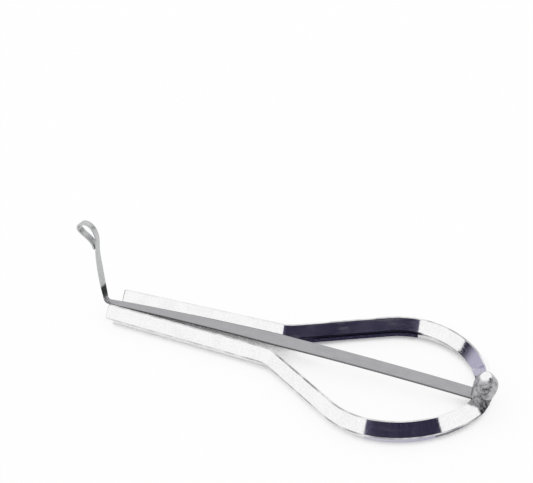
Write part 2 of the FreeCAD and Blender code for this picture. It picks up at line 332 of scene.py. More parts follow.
def arc(centre: tuple, radius: float, start: float, stop: float, count: int = 400) -> Array:
    """Points of a circle: centre + radius * (cos angle, sin angle), for even angles from start to stop."""
    angle = np.linspace(start, stop, count)
    return np.array(centre) + radius * np.stack([np.cos(angle), np.sin(angle)], axis=1)


def towards(azimuth: Array | float, elevation: Array | float) -> Array:
    """Unit vectors (sin a cos e, -cos a cos e, sin e) for azimuths a and elevations e, in degrees."""
    turn, rise = np.radians(azimuth), np.radians(elevation)
    return np.stack([np.sin(turn) * np.cos(rise), -np.cos(turn) * np.cos(rise), np.sin(rise)], axis=-1)


def at_stations(stations: Array, reach: Array, values: Array) -> Array:
    """Values along a line at given distances, by interpolation between the values that are known."""
    return np.stack([np.interp(stations, reach, column) for column in values.T], axis=1)


def distance_along(points: Array) -> Array:
    """Distance of each point of a line from its start: the running sum of the steps' lengths."""
    steps = np.linalg.norm(np.diff(points, axis=0), axis=1)
    return np.concatenate([[0.0], np.cumsum(steps)])


def left_of(ahead: Array) -> Array:
    """Unit vectors to the left of level vectors: (-y, x) / length."""
    ahead = ahead / np.linalg.norm(ahead, axis=1, keepdims=True)
    return np.stack([-ahead[:, 1], ahead[:, 0]], axis=1)


def along_line(stations: Array, path: Array, step: float = 0.1) -> tuple[Array, Array]:
    """Places along a level line, and the directions to its left there.

    Args:
        stations: distances from the line's start.
        path: the line's points.
        step: how far before and after a place the way ahead is taken.

    Returns:
        The places and the directions, two numbers each.
    """
    reach = distance_along(path)
    ahead = at_stations(stations + step, reach, path) - at_stations(stations - step, reach, path)
    return at_stations(stations, reach, path), left_of(ahead)


def rounded_outline(corners: Array, radius: float, steps: int = 5, inset: float = 0.04) -> Array:
    """A convex outline with round corners. At each corner P between edges with outward normals m and n, the
    arc's centre is P - radius * (m + n) / (1 + m.n), and the arc turns from m to n. One more point on each
    side of the arc, a short inset along the edge, keeps the flats flat when the surface is shaded smoothly.

    Args:
        corners: the corners in anticlockwise order.
        radius: radius of every corner.
        steps: steps of each arc.
        inset: distance from the arc's end to the extra point.

    Returns:
        The outline's points.
    """
    edge = np.roll(corners, -1, axis=0) - corners
    edge = edge / np.linalg.norm(edge, axis=1, keepdims=True)
    after = np.stack([edge[:, 1], -edge[:, 0]], axis=1)
    before = np.roll(after, 1, axis=0)
    spread = 1.0 + np.sum(before * after, axis=1, keepdims=True)
    centre = corners - radius * (before + after) / spread
    start = np.arctan2(before[:, 1], before[:, 0])
    turn = np.mod(np.arctan2(after[:, 1], after[:, 0]) - start, 2 * math.pi)
    angle = start[:, None] + turn[:, None] * np.linspace(0.0, 1.0, steps + 1)[None, :]
    arcs = centre[:, None, :] + radius * np.stack([np.cos(angle), np.sin(angle)], axis=2)
    first = arcs[:, :1] - np.roll(edge, 1, axis=0)[:, None, :] * inset
    last = arcs[:, -1:] + edge[:, None, :] * inset
    return np.concatenate([first, arcs, last], axis=1).reshape(-1, 2)


def uneven(along: Array, around: Array, seed: int, wavelengths: tuple) -> Array:
    """Gentle unevenness, mostly from -1 to 1: 1.4 times the mean of twelve sine waves whose lengths,
    directions and phases are drawn from one seed.

    Args:
        along: first coordinate, in millimetres.
        around: second coordinate, in millimetres.
        seed: seed of the draw.
        wavelengths: shortest and longest wave, in millimetres.

    Returns:
        The unevenness at each place.
    """
    draw = np.random.default_rng(seed)
    waves = 12
    length = draw.uniform(*wavelengths, waves)
    heading = draw.uniform(0.0, math.pi, waves)
    phase = draw.uniform(0.0, 2 * math.pi, waves)
    place = along[..., None] * np.cos(heading) + around[..., None] * np.sin(heading)
    return np.mean(np.sin(place * (2 * math.pi / length) + phase), axis=-1) * 1.4


def between(place: Array, places: tuple) -> Array:
    """The share at a place, by the four places where it begins, is full, is still full and ends."""
    return np.interp(place, places, [0.0, 1.0, 1.0, 0.0])


def mark(piece: Piece, name: str, shares: Array) -> None:
    """Keeps a share for each point of a piece, which its finish reads."""
    layer = piece.data.attributes.new(name, "FLOAT", "POINT")
    layer.data.foreach_set("value", np.ascontiguousarray(shares, dtype=np.float32).ravel())


def mark_tube(piece: Piece, name: str, shares: Array, ends: float = 0.0) -> None:
    """Keeps a share for each point of a tube, and one for the middles of its two ends."""
    mark(piece, name, np.append(shares.ravel(), [ends, ends]))


def placed(name: str, data: bpy.types.ID) -> Piece:
    """Puts an object with a mesh or a camera into the scene, at the origin."""
    made = bpy.data.objects.new(name, data)
    bpy.context.scene.collection.objects.link(made)
    return made


def new_mesh(name: str, points: Array, faces: list, layer: str, places: Array) -> bpy.types.Mesh:
    """Makes a mesh that knows where each of its points lies on the finish.

    Args:
        name: the mesh's name.
        points: the points in millimetres, three numbers each.
        faces: point numbers of each face.
        layer: name of the places.
        places: the places, two numbers for each point.

    Returns:
        The mesh.
    """
    mesh = bpy.data.meshes.new(name)
    mesh.from_pydata((points * MM).tolist(), [], faces)
    corner_points = np.empty(len(mesh.loops), dtype=np.int32)
    mesh.loops.foreach_get("vertex_index", corner_points)
    unrolled = mesh.uv_layers.new(name=layer)
    unrolled.data.foreach_set("uv", places[corner_points].astype(np.float32).ravel())
    return mesh


def solid(name: str, points: Array, faces: list, places: Array) -> Piece:
    """Makes a smooth closed piece, its normals pointing outwards, with sharp edges from 40 degrees on.

    Args:
        name: the piece's name.
        points: the points in millimetres, three numbers each.
        faces: point numbers of each face.
        places: place of each point on the finish, in millimetres.

    Returns:
        The piece.
    """
    mesh = new_mesh(name, points, faces, "along", places)
    work = bmesh.new()
    work.from_mesh(mesh)
    bmesh.ops.recalc_face_normals(work, faces=work.faces)
    work.to_mesh(mesh)
    work.free()
    mesh.polygons.foreach_set("use_smooth", np.ones(len(mesh.polygons), dtype=bool))
    mesh.set_sharp_from_angle(angle=math.radians(40.0))
    mesh.update()
    return placed(name, mesh)


def tube(name: str, rings: Array, along: Array) -> Piece:
    """A closed tube through rings of points, with a fan of faces to a middle point at both ends. The two
    middle points come after the rings.

    Args:
        name: the piece's name.
        rings: points by ring and by place around it, in millimetres.
        along: distance of each ring from the tube's start.

    Returns:
        The piece.
    """
    count, around = rings.shape[:2]
    number = np.arange(count * around).reshape(count, around)
    beside = np.roll(number, -1, axis=1)
    sides = np.stack([number[:-1], beside[:-1], beside[1:], number[1:]], axis=-1).reshape(-1, 4)
    first_fan = np.stack([beside[0], number[0], np.full(around, number.size)], axis=1)
    last_fan = np.stack([number[-1], beside[-1], np.full(around, number.size + 1)], axis=1)
    faces = sides.tolist() + first_fan.tolist() + last_fan.tolist()
    points = np.concatenate([rings.reshape(-1, 3), rings[[0, -1]].mean(axis=1)])
    girth = distance_along(rings[count // 2])
    places = np.stack(np.meshgrid(along, girth, indexing="ij"), axis=-1).reshape(-1, 2)
    return solid(name, points, faces, np.concatenate([places, [[along[0], 0.0], [along[-1], 0.0]]]))


# --- Frame ------------------------------------


@dataclass
class BowLine:
    """Centreline of the bent bar, seen from above, in millimetres from the middle of the crown."""

    frame_length: float = 86.35
    arm_length: float = 41.8
    tip_spread: float = 3.2
    neck_spread: float = 4.35
    neck_radius: float = 6.7
    bow_spread: float = 16.6
    bow_depth: float = 18.45
    shoulder_radius: float = 15.3
    side_radius: float = 19.9
    crown_radius: float = 5.0

    def half(self) -> Array:
        """The far side from the crown to the arm's end: crown arc, side arc, shoulder arc, straight flank,
        neck arc and straight arm, each tangent to the next.

        Returns:
            Closely spaced points.
        """
        crown = np.array([-self.crown_radius, 0.0])
        shoulder = np.array([-self.bow_depth, self.bow_spread - self.shoulder_radius])
        inside = self.side_radius - self.shoulder_radius, self.side_radius - self.crown_radius
        side = self._common_point(shoulder, inside[0], crown, inside[1])
        corner = np.array([self.arm_length - self.frame_length, self.neck_spread])
        arm_end = np.array([-self.frame_length, self.tip_spread])
        reach = np.linalg.norm(shoulder - corner)
        flank = self._heading(corner, shoulder) + math.asin(self.shoulder_radius / reach)
        arm = self._heading(arm_end, corner)
        cut_back = self.neck_radius * math.tan((flank - arm) / 2)
        arm_start = corner - cut_back * np.array([math.cos(arm), math.sin(arm)])
        neck = arm_start + self.neck_radius * np.array([-math.sin(arm), math.cos(arm)])
        crown_turn = self._heading(side, crown)
        side_turn = self._heading(side, shoulder)
        quarter = math.pi / 2
        return np.concatenate(
            [
                arc(crown, self.crown_radius, 0.0, crown_turn)[:-1],
                arc(side, self.side_radius, crown_turn, side_turn)[:-1],
                arc(shoulder, self.shoulder_radius, side_turn, flank + quarter),
                arc(neck, self.neck_radius, flank - quarter, arm - quarter),
                arm_end[None, :],
            ]
        )

    def whole(self) -> Array:
        """Both sides: from the far arm's end round the crown to the near arm's end."""
        half = self.half()
        return np.concatenate([half[::-1], half[1:] * [1.0, -1.0]])

    @staticmethod
    def _heading(start: Array, end: Array) -> float:
        """Angle of the line from one point to another."""
        return math.atan2(end[1] - start[1], end[0] - start[0])

    def _common_point(self, first: Array, first_reach: float, second: Array, second_reach: float) -> Array:
        """The point at two given distances from two points, on the right of the line between them.

        Args:
            first: one point.
            first_reach: distance from it.
            second: the other point.
            second_reach: distance from that one.

        Returns:
            The point.
        """
        apart = np.linalg.norm(second - first)
        along = (first_reach**2 - second_reach**2 + apart**2) / (2 * apart)
        aside = math.sqrt(first_reach**2 - along**2)
        heading = self._heading(first, second)
        ahead = np.array([math.cos(heading), math.sin(heading)])
        right = np.array([ahead[1], -ahead[0]])
        return first + along * ahead + aside * right


@dataclass
class FrameBar:
    """The bar of diamond section, bent to a bow with two arms. Places past the crown are distances along the
    bar from the middle of the crown, in millimetres, above zero on the near side. Four places in a row are
    where a share begins, is full, is still full, and ends."""

    line: BowLine
    width: float = 4.0
    height: float = 5.0
    edge_flat: float = 0.32
    edge_radius: float = 0.16
    end_radius: float = 0.35
    ring_spacing: float = 0.4
    facet_spacing: float = 0.3
    fine_reach: float = 9.0
    fine_spacing: float = 0.14
    dip: float = 0.02
    dip_waves: tuple = (5.0, 16.0)
    crush_depth: float = 0.75
    crush_reach: float = 2.6
    pinch_depth: float = 0.9
    pinch_place: float = -6.6
    pinch_reach: float = 3.0
    chew_scale: float = 2.2
    chew_waves: tuple = (1.2, 3.4)
    chew_share: float = 0.35
    crushed: tuple = (-3.4, -2.6, 4.2, 4.7)
    raggedness: float = 0.25
    lip: float = 1.5
    # painted dark spots of shade and reflection on the outer side just past the crown
    painted_dark: tuple = (1.2, 2.0, 4.4, 4.9)
    painted_dark_height: float = 1.9
    painted_dark_even: float = 0.85
    painted_dark_chew: float = 0.9
    # painted lavender reflection on the inner side of the far arm beside the head
    lavender_reflection_places: tuple = (-8.95, -8.7, -3.0, -2.2)
    reflection_slant: float = 1.7
    # painted dark reflection along the inner edge of the far neck
    dark_reflection_places: tuple = (-57.0, -56.0, -27.0, -26.0)
    # edge wear and painted edge shade, by place past the crown and by edge
    edge_wear_and_shade_places: tuple = (-98, -57.5, -55, -30, -26, 2, 5, 13, 17, 36, 42, 58, 62, 98)
    edge_wear_and_shade_shares: tuple = (
        # outer, upper, inner and lower edge, at each of those places past the crown; real wear, darkened
        # further as painted shade along the edges
        (0.15, 0.15, 0.7, 0.9, 0.9, 0.9, 1.0, 1.0, 1.0, 0.9, 0.9, 0.9, 0.6, 0.6),
        (0.2, 0.2, 0.6, 0.8, 0.8, 0.6, 0.1, 0.1, 0.5, 0.8, 1.1, 1.1, 0.6, 0.6),
        (0.5, 0.4, 0.0, 0.0, 0.8, 0.8, 0.8, 0.8, 0.8, 0.8, 0.8, 0.8, 0.6, 0.6),
        (0.8, 0.8, 0.8, 0.8, 0.8, 0.8, 1.1, 1.1, 1.0, 0.8, 0.8, 0.8, 0.8, 0.8),
    )

    def outline(self) -> tuple[Array, Array]:
        """The bar's section, right for outwards and up for up: a diamond whose four edges are blunted and
        rounded. Its corners come in pairs, one pair to an edge, and the pair's first and last points already
        lie on the facets. More points fill the facets.

        Returns:
            The section's points, and a share for each that is one on the edges and zero on the facets.
        """
        flat, right, upper = self.edge_flat / 2, self.width / 2, self.height / 2
        corners = np.array(
            [
                (right, -flat), (right, flat), (flat, upper), (-flat, upper),
                (-right, flat), (-right, -flat), (-flat, -upper), (flat, -upper),
            ]
        )
        points = rounded_outline(corners, self.edge_radius)
        shares = np.ones((4, len(points) // 4))
        shares[:, [0, -1]] = 0.0
        known = np.concatenate([points, shares.reshape(-1, 1)], axis=1)
        known = np.concatenate([known, known[:1]])
        reach = distance_along(known[:, :2])
        fill = np.arange(0.0, reach[-1], self.facet_spacing)
        close = np.abs(fill[:, None] - reach[None, :]).min(axis=1) < self.facet_spacing / 2
        around = np.sort(np.concatenate([reach[:-1], fill[~close]]))
        outline = at_stations(around, reach, known)
        return outline[:, :2], outline[:, 2]

    def stations(self, length: float) -> Array:
        """Distances along the bar where a ring stands: even steps, and closer ones at each end and at the
        head.

        Args:
            length: the bar's length.

        Returns:
            The distances.
        """
        even = np.linspace(self.end_radius, length - self.end_radius, round(length / self.ring_spacing))
        near = self.end_radius * np.array([0.0, 0.05, 0.2, 0.4, 0.7])
        hammered = length / 2 + np.arange(-self.fine_reach, self.fine_reach, self.fine_spacing)
        even = even[np.abs(even - length / 2) > self.fine_reach]
        return np.sort(np.concatenate([near, even, hammered, length - near[::-1]]))

    def build(self) -> Piece:
        """Carries the section along the centreline: place + outline's right * outward normal + outline's up *
        up. Near the cut ends it shrinks along a quarter circle, and everywhere it dips a little unevenly. Its
        outer half is pushed in at the crown, raggedly, by depth * exp(-(place / reach) squared), and in the
        same way, smoothly, beside the head on the far side.

        Returns:
            The bar.
        """
        path = self.line.whole()
        length = distance_along(path)[-1]
        stations = self.stations(length)
        place, outward = along_line(stations, path)
        section, edges = self.outline()
        along, around = np.meshgrid(stations, distance_along(section), indexing="ij")
        inset = np.clip(1.0 - np.minimum(along, length - along) / self.end_radius, 0.0, 1.0)
        shrink = self.end_radius * (1.0 - np.sqrt(1.0 - inset**2)) / (self.width / 2)
        dip = self.dip * (1.0 + uneven(along, around * 2.0, 7, self.dip_waves)) / 2 / (self.width / 2)
        size = 1.0 - shrink - np.clip(dip, 0.0, 1.0)
        past_crown = along - length / 2
        chewed = uneven(along * self.chew_scale, around * self.chew_scale, 5, self.chew_waves)
        outer = np.clip(section[:, 0] / self.width * 2, 0.0, 1.0)
        blow = self.crush_depth * np.exp(-((past_crown / self.crush_reach) ** 2))
        pinch = self.pinch_depth * np.exp(-(((past_crown - self.pinch_place) / self.pinch_reach) ** 2))
        right = section[:, 0] * size - outer * (blow * (1.0 + self.chew_share * chewed) + pinch)
        up = section[:, 1] * size + self.height / 2
        level = place[:, None, :] + right[:, :, None] * outward[:, None, :]
        made = tube("frame_bar", np.concatenate([level, up[:, :, None]], axis=2), stations)
        self.mark_finish(made, section, edges, past_crown, chewed)
        return made

    def mark_finish(self, bar: Piece, section: Array, edges: Array, past_crown: Array, chewed: Array) -> None:
        """Keeps on the bar's points where it is worn and darkened with painted edge shade, where it is
        crushed, and where it gets painted dark spots of shade and reflection, a painted lavender reflection
        and a painted dark reflection.

        Args:
            bar: the bar.
            section: the section's points.
            edges: a share for each of them that is one on the edges.
            past_crown: place of each point of the bar past the crown.
            chewed: unevenness at each point.
        """
        turn = np.arctan2(section[:, 1] / self.height, section[:, 0] / self.width)
        edge_number = np.rint(turn / (math.pi / 2)).astype(int) % 4
        # edge wear and painted edge shade, on the edges only
        worn = [np.interp(past_crown[:, 0], self.edge_wear_and_shade_places, shares) for shares in self.edge_wear_and_shade_shares]
        mark_tube(bar, "edge_wear_and_shade", np.stack(worn, axis=1)[:, edge_number] * edges)
        lip = self.lip * np.clip(section[:, 1] / self.height * 4 - 1.0, 0.0, 1.0)
        ragged = past_crown + self.raggedness * chewed - lip * (past_crown > 0.0)
        mark_tube(bar, "crush", between(ragged, self.crushed))
        # painted dark spots of shade and reflection: outer half, near the outer edge, just past the crown,
        # patchy
        low = np.clip(self.painted_dark_height - np.abs(section[:, 1]), 0.0, 1.0)
        outside = section[:, 0] / self.width * 2 > 0.05
        patchy = np.clip(self.painted_dark_even + self.painted_dark_chew * chewed, 0.0, 1.0)
        mark_tube(bar, "painted_dark_spots", between(past_crown, self.painted_dark) * outside * low * patchy)
        # painted lavender reflection on the inner half beside the head, slanting with height
        slant = self.reflection_slant * np.clip(section[:, 1] / self.height * 2, 0.0, 1.0)
        mark_tube(bar, "painted_reflection", between(past_crown - slant, self.lavender_reflection_places) * (section[:, 0] < 0.0))
        # painted dark reflection along the inner edge of the far neck, and the points beside that edge
        beside = np.maximum(edges, np.maximum(np.roll(edges, 1), np.roll(edges, -1)))
        mark_tube(bar, "painted_dark_reflection", between(past_crown, self.dark_reflection_places) * (edge_number == 2) * beside)


def quad_sphere(count: int) -> tuple[Array, list]:
    """Directions over a whole sphere, without poles: a cube's six faces with their grids pushed out to the
    sphere, each place on a face being (tan a, tan b, 1) for even angles a and b. Points that faces share are
    made one.

    Args:
        count: squares along each edge of the cube.

    Returns:
        The directions and the point numbers of each face.
    """
    angle = np.tan(np.linspace(-math.pi / 4, math.pi / 4, count + 1))
    across, up = np.meshgrid(angle, angle, indexing="ij")
    one = np.ones_like(across)
    sides = [
        (across, up, one), (up, across, -one), (one, across, up),
        (-one, up, across), (up, one, across), (across, -one, up),
    ]
    points = np.stack([np.stack(side, axis=-1) for side in sides]).reshape(-1, 3)
    points /= np.linalg.norm(points, axis=1, keepdims=True)
    unique, number = np.unique(np.round(points, 9), axis=0, return_inverse=True)
    number = number.reshape(6, count + 1, count + 1)
    corners = [number[:, :-1, :-1], number[:, 1:, :-1], number[:, 1:, 1:], number[:, :-1, 1:]]
    return unique, np.stack(corners, axis=-1).reshape(-1, 4).tolist()


@dataclass
class PeenedHead:
    """The lump of metal that was hammered over the reed's tail."""

    centre: tuple = (-0.2, 0.6, 4.9)
    reach: tuple = (2.35, 3.6, 2.72)
    squares: int = 48
    dents: tuple = (
        # azimuth, elevation and half width in degrees, depth in millimetres (below zero for a lump)
        (28.0, 30.0, 16.0, 0.34),
        (52.0, 33.0, 10.0, 0.26),
        (8.0, 33.0, 10.0, 0.3),
        (70.0, -5.0, 24.0, 0.1),
        (-20.0, 14.0, 18.0, 0.3),
        (-46.0, -22.0, 20.0, -0.5),
        (150.0, 30.0, 30.0, 0.3),
        (215.0, 20.0, 26.0, 0.3),
        (-75.0, 40.0, 16.0, 0.28),
    )
    painted_dark_lines: tuple = (
        # azimuth, elevation and half width in degrees of each painted dark line of shade and reflection
        (8.0, 32.0, 8.0),
        (18.0, 29.0, 8.0),
        (30.0, 31.0, 9.0),
        (42.0, 28.0, 8.0),
        (54.0, 33.0, 7.0),
        (24.0, 12.0, 5.0),
        (2.0, -18.0, 9.0),
    )
    waves: tuple = (1.2, 4.0)
    # heights of the painted highlight's cap, which keeps the bright plating; below it the steel is crushed
    # and grey
    highlight_cap_above: tuple = (0.84, 0.93)
    ragged_cap: float = 0.03
    ragged_dark_line: float = 0.4
    patchy: float = 0.14
    roughness: float = 0.05

    @staticmethod
    def spot(direction: Array, place: tuple, ragged: Array | float = 1.0) -> Array:
        """A round spot: exp(-(angle from its middle * raggedness / half width) squared)."""
        away = np.degrees(np.arccos(np.clip(direction @ towards(*place[:2]), -1.0, 1.0)))
        return np.exp(-((away * ragged / place[2]) ** 2))

    def build(self) -> Piece:
        """A ball that is pushed in where the hammer fell: its radius is lowered by the sum of the dents, each
        depth * spot, and by a fine unevenness. Only its top keeps the bright plating, as a painted highlight,
        and painted dark lines of shade and reflection run over it.

        Returns:
            The head.
        """
        direction, faces = quad_sphere(self.squares)
        radius = np.ones(len(direction))
        for *place, depth in self.dents:
            radius -= depth / self.reach[0] * self.spot(direction, place)
        coarse = uneven(direction[:, 0] * 3 + direction[:, 2] * 2, direction[:, 1] * 3, 11, self.waves)
        # crushed grey steel below, and a bright plated cap on top as a painted highlight
        hammered = np.interp(direction[:, 2] + self.ragged_cap * coarse, self.highlight_cap_above, [1.0, 0.0])
        radius -= self.roughness / self.reach[0] * (1.0 + coarse) / 2 * (1.0 + hammered)
        points = np.array(self.centre) + direction * radius[:, None] * np.array(self.reach)
        made = solid("peened_head", points, faces, points[:, :2])
        # painted dark lines of shade and reflection over the head
        painted_dark_spots = [self.spot(direction, place, 1.0 + self.ragged_dark_line * coarse) for place in self.painted_dark_lines]
        mark(made, "crush", np.clip(hammered * (1.0 + self.patchy * (coarse - 1.0)), 0.0, 1.0))
        mark(made, "painted_dark_spots", np.max(painted_dark_spots, axis=0))
        return made


# --- Reed -------------------------------------


@dataclass
class ReedShape:
    """Sizes of the whole strip, by the distance from the crown, in millimetres."""

    line: BowLine
    bar_width: float = 4.0
    bar_height: float = 5.0
    thickness: float = 0.45
    edge_radius: float = 0.1
    neck_clearance: float = 0.55
    tip_clearance: float = 0.25
    root_width: float = 3.15
    root_level: float = 0.55
    tip_level: float = 0.75
    arch: float = 1.1
    head_face: float = 2.25
    tail_reach: float = 1.2
    root_hinge: float = 17.3
    tip_hinge_inset: float = 11.3
    trigger_start: float = 80.0
    turn_start: float = 88.7
    turn_width: float = 1.4

    def width(self, distance: Array) -> Array:
        """Even taper from the head to the neck, then the gap between the arms less the clearance, then a
        quick taper to the trigger's turn.

        Args:
            distance: distances from the crown.

        Returns:
            The strip's widths.
        """
        line = self.line
        knots = [self.head_face, line.frame_length - line.arm_length, line.frame_length, self.turn_start]
        widths = [
            self.root_width,
            2 * (line.neck_spread - self.bar_width / 2 - self.neck_clearance),
            2 * (line.tip_spread - self.bar_width / 2 - self.tip_clearance),
            self.turn_width,
        ]
        return np.interp(distance, knots, widths)

    def top(self, distance: Array) -> Array:
        """Height of the strip's top: a flat arch, level + drop * share + 4 * arch * share * (1 - share).

        Args:
            distance: distances from the crown.

        Returns:
            The heights over the rest plane.
        """
        start = self.bar_width / 2
        share = np.clip((distance - start) / (self.line.frame_length - start), 0.0, 1.0)
        rise = self.root_level + (self.tip_level - self.root_level) * share
        return self.bar_height / 2 + (rise + 4 * self.arch * share * (1 - share))

    def section(self, half_width: Array) -> tuple[Array, Array, Array]:
        """Sections of the strip: a rectangle with rounded edges, its left and right halves moved apart until
        it has each width.

        Args:
            half_width: half the width of each section.

        Returns:
            Places across by section and by point, the points' heights, and whether each is on a side, which
            gets painted shade.
        """
        half = self.thickness / 2
        corners = np.array([(-1.0, -half), (1.0, -half), (1.0, half), (-1.0, half)])
        unit = rounded_outline(corners, self.edge_radius, 4, 0.02)
        across = unit[:, 0] + np.sign(unit[:, 0]) * (half_width[:, None] - 1.0)
        return across, unit[:, 1], np.abs(unit[:, 0]) > 1.0 - self.edge_radius


@dataclass
class ReedStrip:
    """One stretch of the strip, closed at both ends, that spans a joint."""

    name: str
    shape: ReedShape
    start: float
    end: float
    ring_spacing: float = 0.5

    def build(self) -> Piece:
        """Carries the section upright along the reed: at each distance d it is width(d) wide and its top is
        at top(d).

        Returns:
            The stretch.
        """
        distance = np.linspace(self.start, self.end, round((self.end - self.start) / self.ring_spacing))
        across, up, painted_side_shade = self.shape.section(self.shape.width(distance) / 2)
        level = self.shape.top(distance) - self.shape.thickness / 2
        back = np.broadcast_to(-distance[:, None], across.shape)
        made = tube(self.name, np.stack([back, across, level[:, None] + up], axis=2), distance)
        # painted shade on the sides and on both ends
        mark_tube(made, "side", np.broadcast_to(painted_side_shade, across.shape), 1.0)
        return made


@dataclass
class Trigger:
    """The reed's free end: the strip runs on past the arms, turns up, broadens, and ends in an eye whose end
    lies back against the stem. Places on the stem are distances from the turn's end, in millimetres."""

    shape: ReedShape
    turn_radius: float = 0.85
    stem_foot: float = 4.6
    stem_and_eye: tuple = (
        # place along X and height of points that the line passes above the stem's foot
        (-89.6, 7.0), (-89.62, 9.5), (-89.55, 12.0), (-89.45, 14.5), (-89.25, 16.8), (-88.85, 18.8),
        (-88.65, 20.6), (-89.1, 22.3), (-90.2, 23.4), (-91.6, 23.55), (-92.75, 22.95), (-93.1, 22.0),
        (-92.4, 21.05), (-91.3, 20.2), (-90.3, 19.2), (-89.78, 18.2), (-89.66, 17.4),
    )
    width_places: tuple = (-1.0, 0.0, 4.5, 8.5, 13.0, 16.0, 19.5, 22.5)
    widths: tuple = (1.4, 1.35, 1.7, 1.7, 1.3, 1.2, 1.35, 1.65)
    end_width: float = 1.4
    ring_spacing: float = 0.16
    # where the stem is darker: at its foot, and on the inside of the eye
    darkened_foot: tuple = (0.1, 0.7, 3.3, 3.9)
    darkened_eye: tuple = (15.5, 16.3, 18.6, 19.2)
    buffed: tuple = (0.0, 2.0, 14.0)

    def middle_line(self) -> Array:
        """The strip's middle from its start to the eye's end: the reed's own line, a quarter turn, and a
        smooth line through the chosen points.

        Returns:
            Closely spaced points: place along X and height.
        """
        flat = np.linspace(self.shape.trigger_start, self.shape.turn_start, 24)
        run = np.stack([-flat, self.shape.top(flat) - self.shape.thickness / 2], axis=1)
        centre = run[-1] + [0.0, self.turn_radius]
        turn = arc(centre, self.turn_radius, -math.pi / 2, -math.pi, 24)
        stem = self._smooth(np.array([(turn[-1, 0], self.stem_foot), *self.stem_and_eye]))
        return np.concatenate([run[:-1], turn[:-1], stem])

    @staticmethod
    def _smooth(points: Array, per_span: int = 14) -> Array:
        """A smooth line through points: each span is a cubic whose end slopes are half of the difference
        between the points on either side.

        Args:
            points: the points to pass.
            per_span: points of each span.

        Returns:
            Closely spaced points.
        """
        slope = np.gradient(points, axis=0)[:, None, :]
        share = np.linspace(0.0, 1.0, per_span, endpoint=False)[None, :, None]
        cube, square = share**3, share**2
        spans = (
            (2 * cube - 3 * square + 1) * points[:-1, None, :]
            + (cube - 2 * square + share) * slope[:-1]
            + (3 * square - 2 * cube) * points[1:, None, :]
            + (cube - square) * slope[1:]
        )
        return np.concatenate([spans.reshape(-1, 2), points[-1:]])

    def build(self) -> Piece:
        """Carries the reed's section along the middle line, upright to it.

        Returns:
            The trigger with the reed's last stretch.
        """
        line = self.middle_line()
        reach = distance_along(line)
        stations = np.linspace(0.0, reach[-1], round(reach[-1] / self.ring_spacing))
        place = at_stations(stations, reach, line)
        normal = left_of(np.gradient(place, axis=0))
        run = self.shape.turn_start - self.shape.trigger_start
        on_reed = self.shape.width(self.shape.trigger_start + np.minimum(stations, run))
        stem = stations - run - self.turn_radius * math.pi / 2
        on_stem = np.interp(stem, [*self.width_places, reach[-1]], [*self.widths, self.end_width])
        across, up, painted_side_shade = self.shape.section(np.where(stations < run, on_reed, on_stem) / 2)
        flat = place[:, None, :] + up[:, None] * normal[:, None, :]
        made = tube("reed_trigger", np.stack([flat[:, :, 0], across, flat[:, :, 1]], axis=2), stations)
        stem = np.broadcast_to(stem[:, None], across.shape)
        # darker at the stem's foot and on the inner face of the eye
        inside = (up > 0.0) * between(stem, self.darkened_eye) * 0.8
        # painted shade on the sides, up to the stem
        mark_tube(made, "side", painted_side_shade * (stem < 0.0))
        mark_tube(made, "buff", np.interp(stem, self.buffed, [0.0, 0.8, 1.0]))
        mark_tube(made, "darkening", np.maximum(between(stem, self.darkened_foot), inside))
        return made


# --- Studio -----------------------------------


@dataclass(frozen=True)
class StudioWhite:
    """White paper under the object: part of it is white of itself, as seen by the camera and in reflections,
    less so in narrow places, and the rest takes the object's shadow."""

    albedo: float = 0.965
    bleached: float = 0.84
    shade_reach: float = 9.0
    shade: tuple = (0.18, 0.40)
    glossy_shade: tuple = (0.14, 0.32)

    def material(self) -> Finish:
        """Builds the paper's finish.

        Returns:
            The material.
        """
        sheet = NodeSheet("paper_finish")
        lit = sheet.node("ShaderNodeBsdfDiffuse", {}, {"Color": (self.albedo, self.albedo, self.albedo, 1.0)})
        seen = sheet.node("ShaderNodeLightPath", {}, {}, "Is Camera Ray")
        reflected = sheet.node("ShaderNodeLightPath", {}, {}, "Is Glossy Ray")
        distance = {"Distance": self.shade_reach * MM}
        open_sky = sheet.node("ShaderNodeAmbientOcclusion", {"samples": 12}, distance, "AO")
        share = seen * open_sky.ramp(*self.shade) + reflected * open_sky.ramp(*self.glossy_shade)
        return sheet.finish(sheet.cover(lit, sheet.glow((1.0, 1.0, 1.0)), share * self.bleached))


@dataclass(frozen=True)
class FlagCloth:
    """Cloth or card that the plating reflects, going over from one tone to another along its length."""

    name: str
    near: tuple
    far: tuple
    fade: tuple = (0.0, 1.0)
    blotch: float = 0.5
    sheen: tuple = (0.30, 0.28, 0.42)
    cloud_scale: tuple = (40.0, 22.0, 1.0)

    def material(self) -> Finish:
        """Builds the cloth's finish: the far tone's share grows over the fade, and clouds lighten both a
        little.

        Returns:
            The material.
        """
        sheet = NodeSheet(self.name)
        place = sheet.unrolled("across")
        along = sheet.node("ShaderNodeSeparateXYZ", {}, {"Vector": place})
        clouds = sheet.noise(sheet.stretched(place, self.cloud_scale), 1.0, 5.0)
        share = (along + (clouds - 0.5) * 0.08).ramp(*self.fade)
        cloth = sheet.cover(sheet.glow(self.near), sheet.glow(self.far), share)
        lighter = clouds.ramp(0.42, 0.72) * (0.22 * self.blotch)
        return sheet.finish(sheet.cover(cloth, sheet.glow(self.sheen), lighter))


